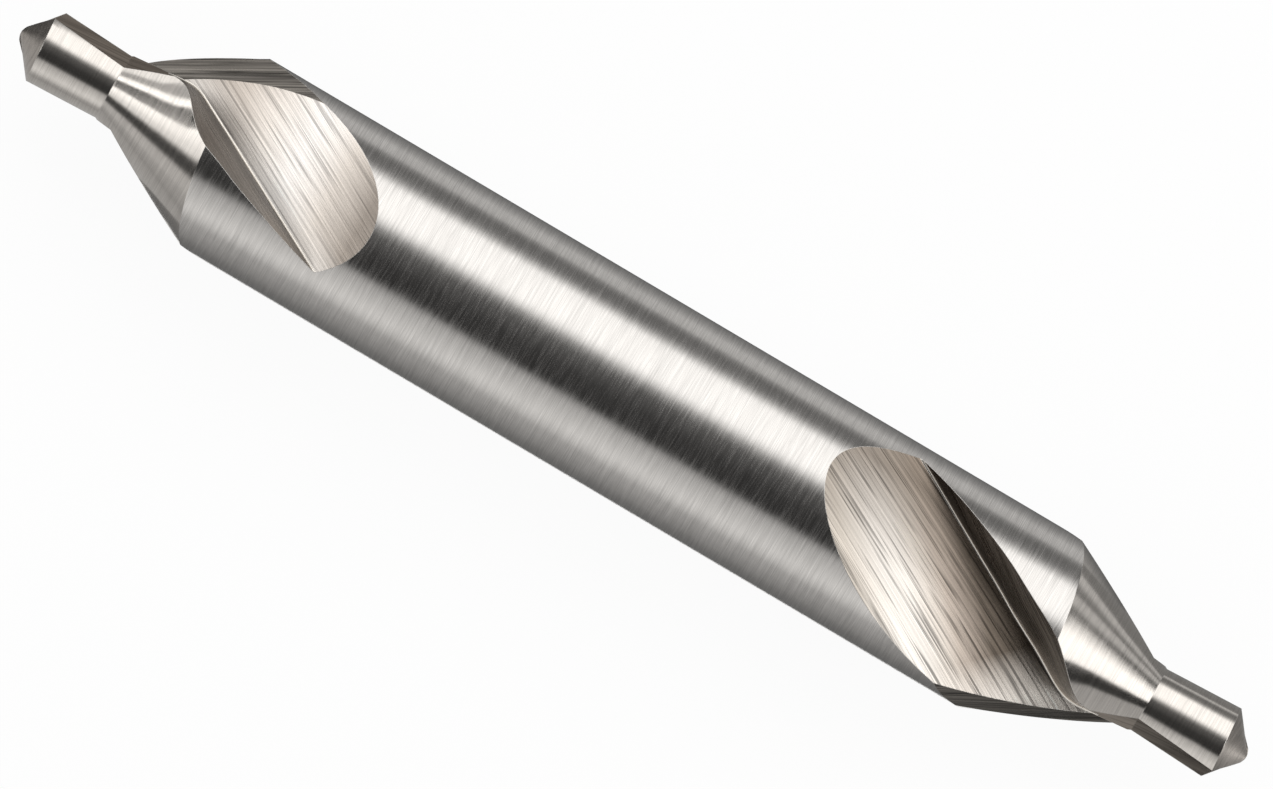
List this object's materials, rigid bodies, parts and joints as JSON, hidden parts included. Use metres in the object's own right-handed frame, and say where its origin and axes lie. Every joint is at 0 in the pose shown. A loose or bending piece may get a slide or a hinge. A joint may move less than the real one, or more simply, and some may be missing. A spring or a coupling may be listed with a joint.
{
  "type": "centre drill",
  "caption": "Double-ended plain centre drill: a cylindrical body with a short pilot drill, a 60 degree cone and ground flutes at each end.",
  "frame": {"origin": "the middle of the drill's axis, halfway between its two points, inside the plain cylinder of the body", "axes": "+X along the drill's axis towards the end with the longer pilot; +Z towards the viewer of the picture and +Y across, so both ends' leading lands face +Z"},
  "size_m": [0.0544, 0.008, 0.008],
  "materials": {
    "centre_drill": "bright ground high-speed steel, brushed around the body and along the flutes"
  },
  "bodies": {
    "root": {"centre_drill": "centre_drill"}
  },
  "joints": []
}
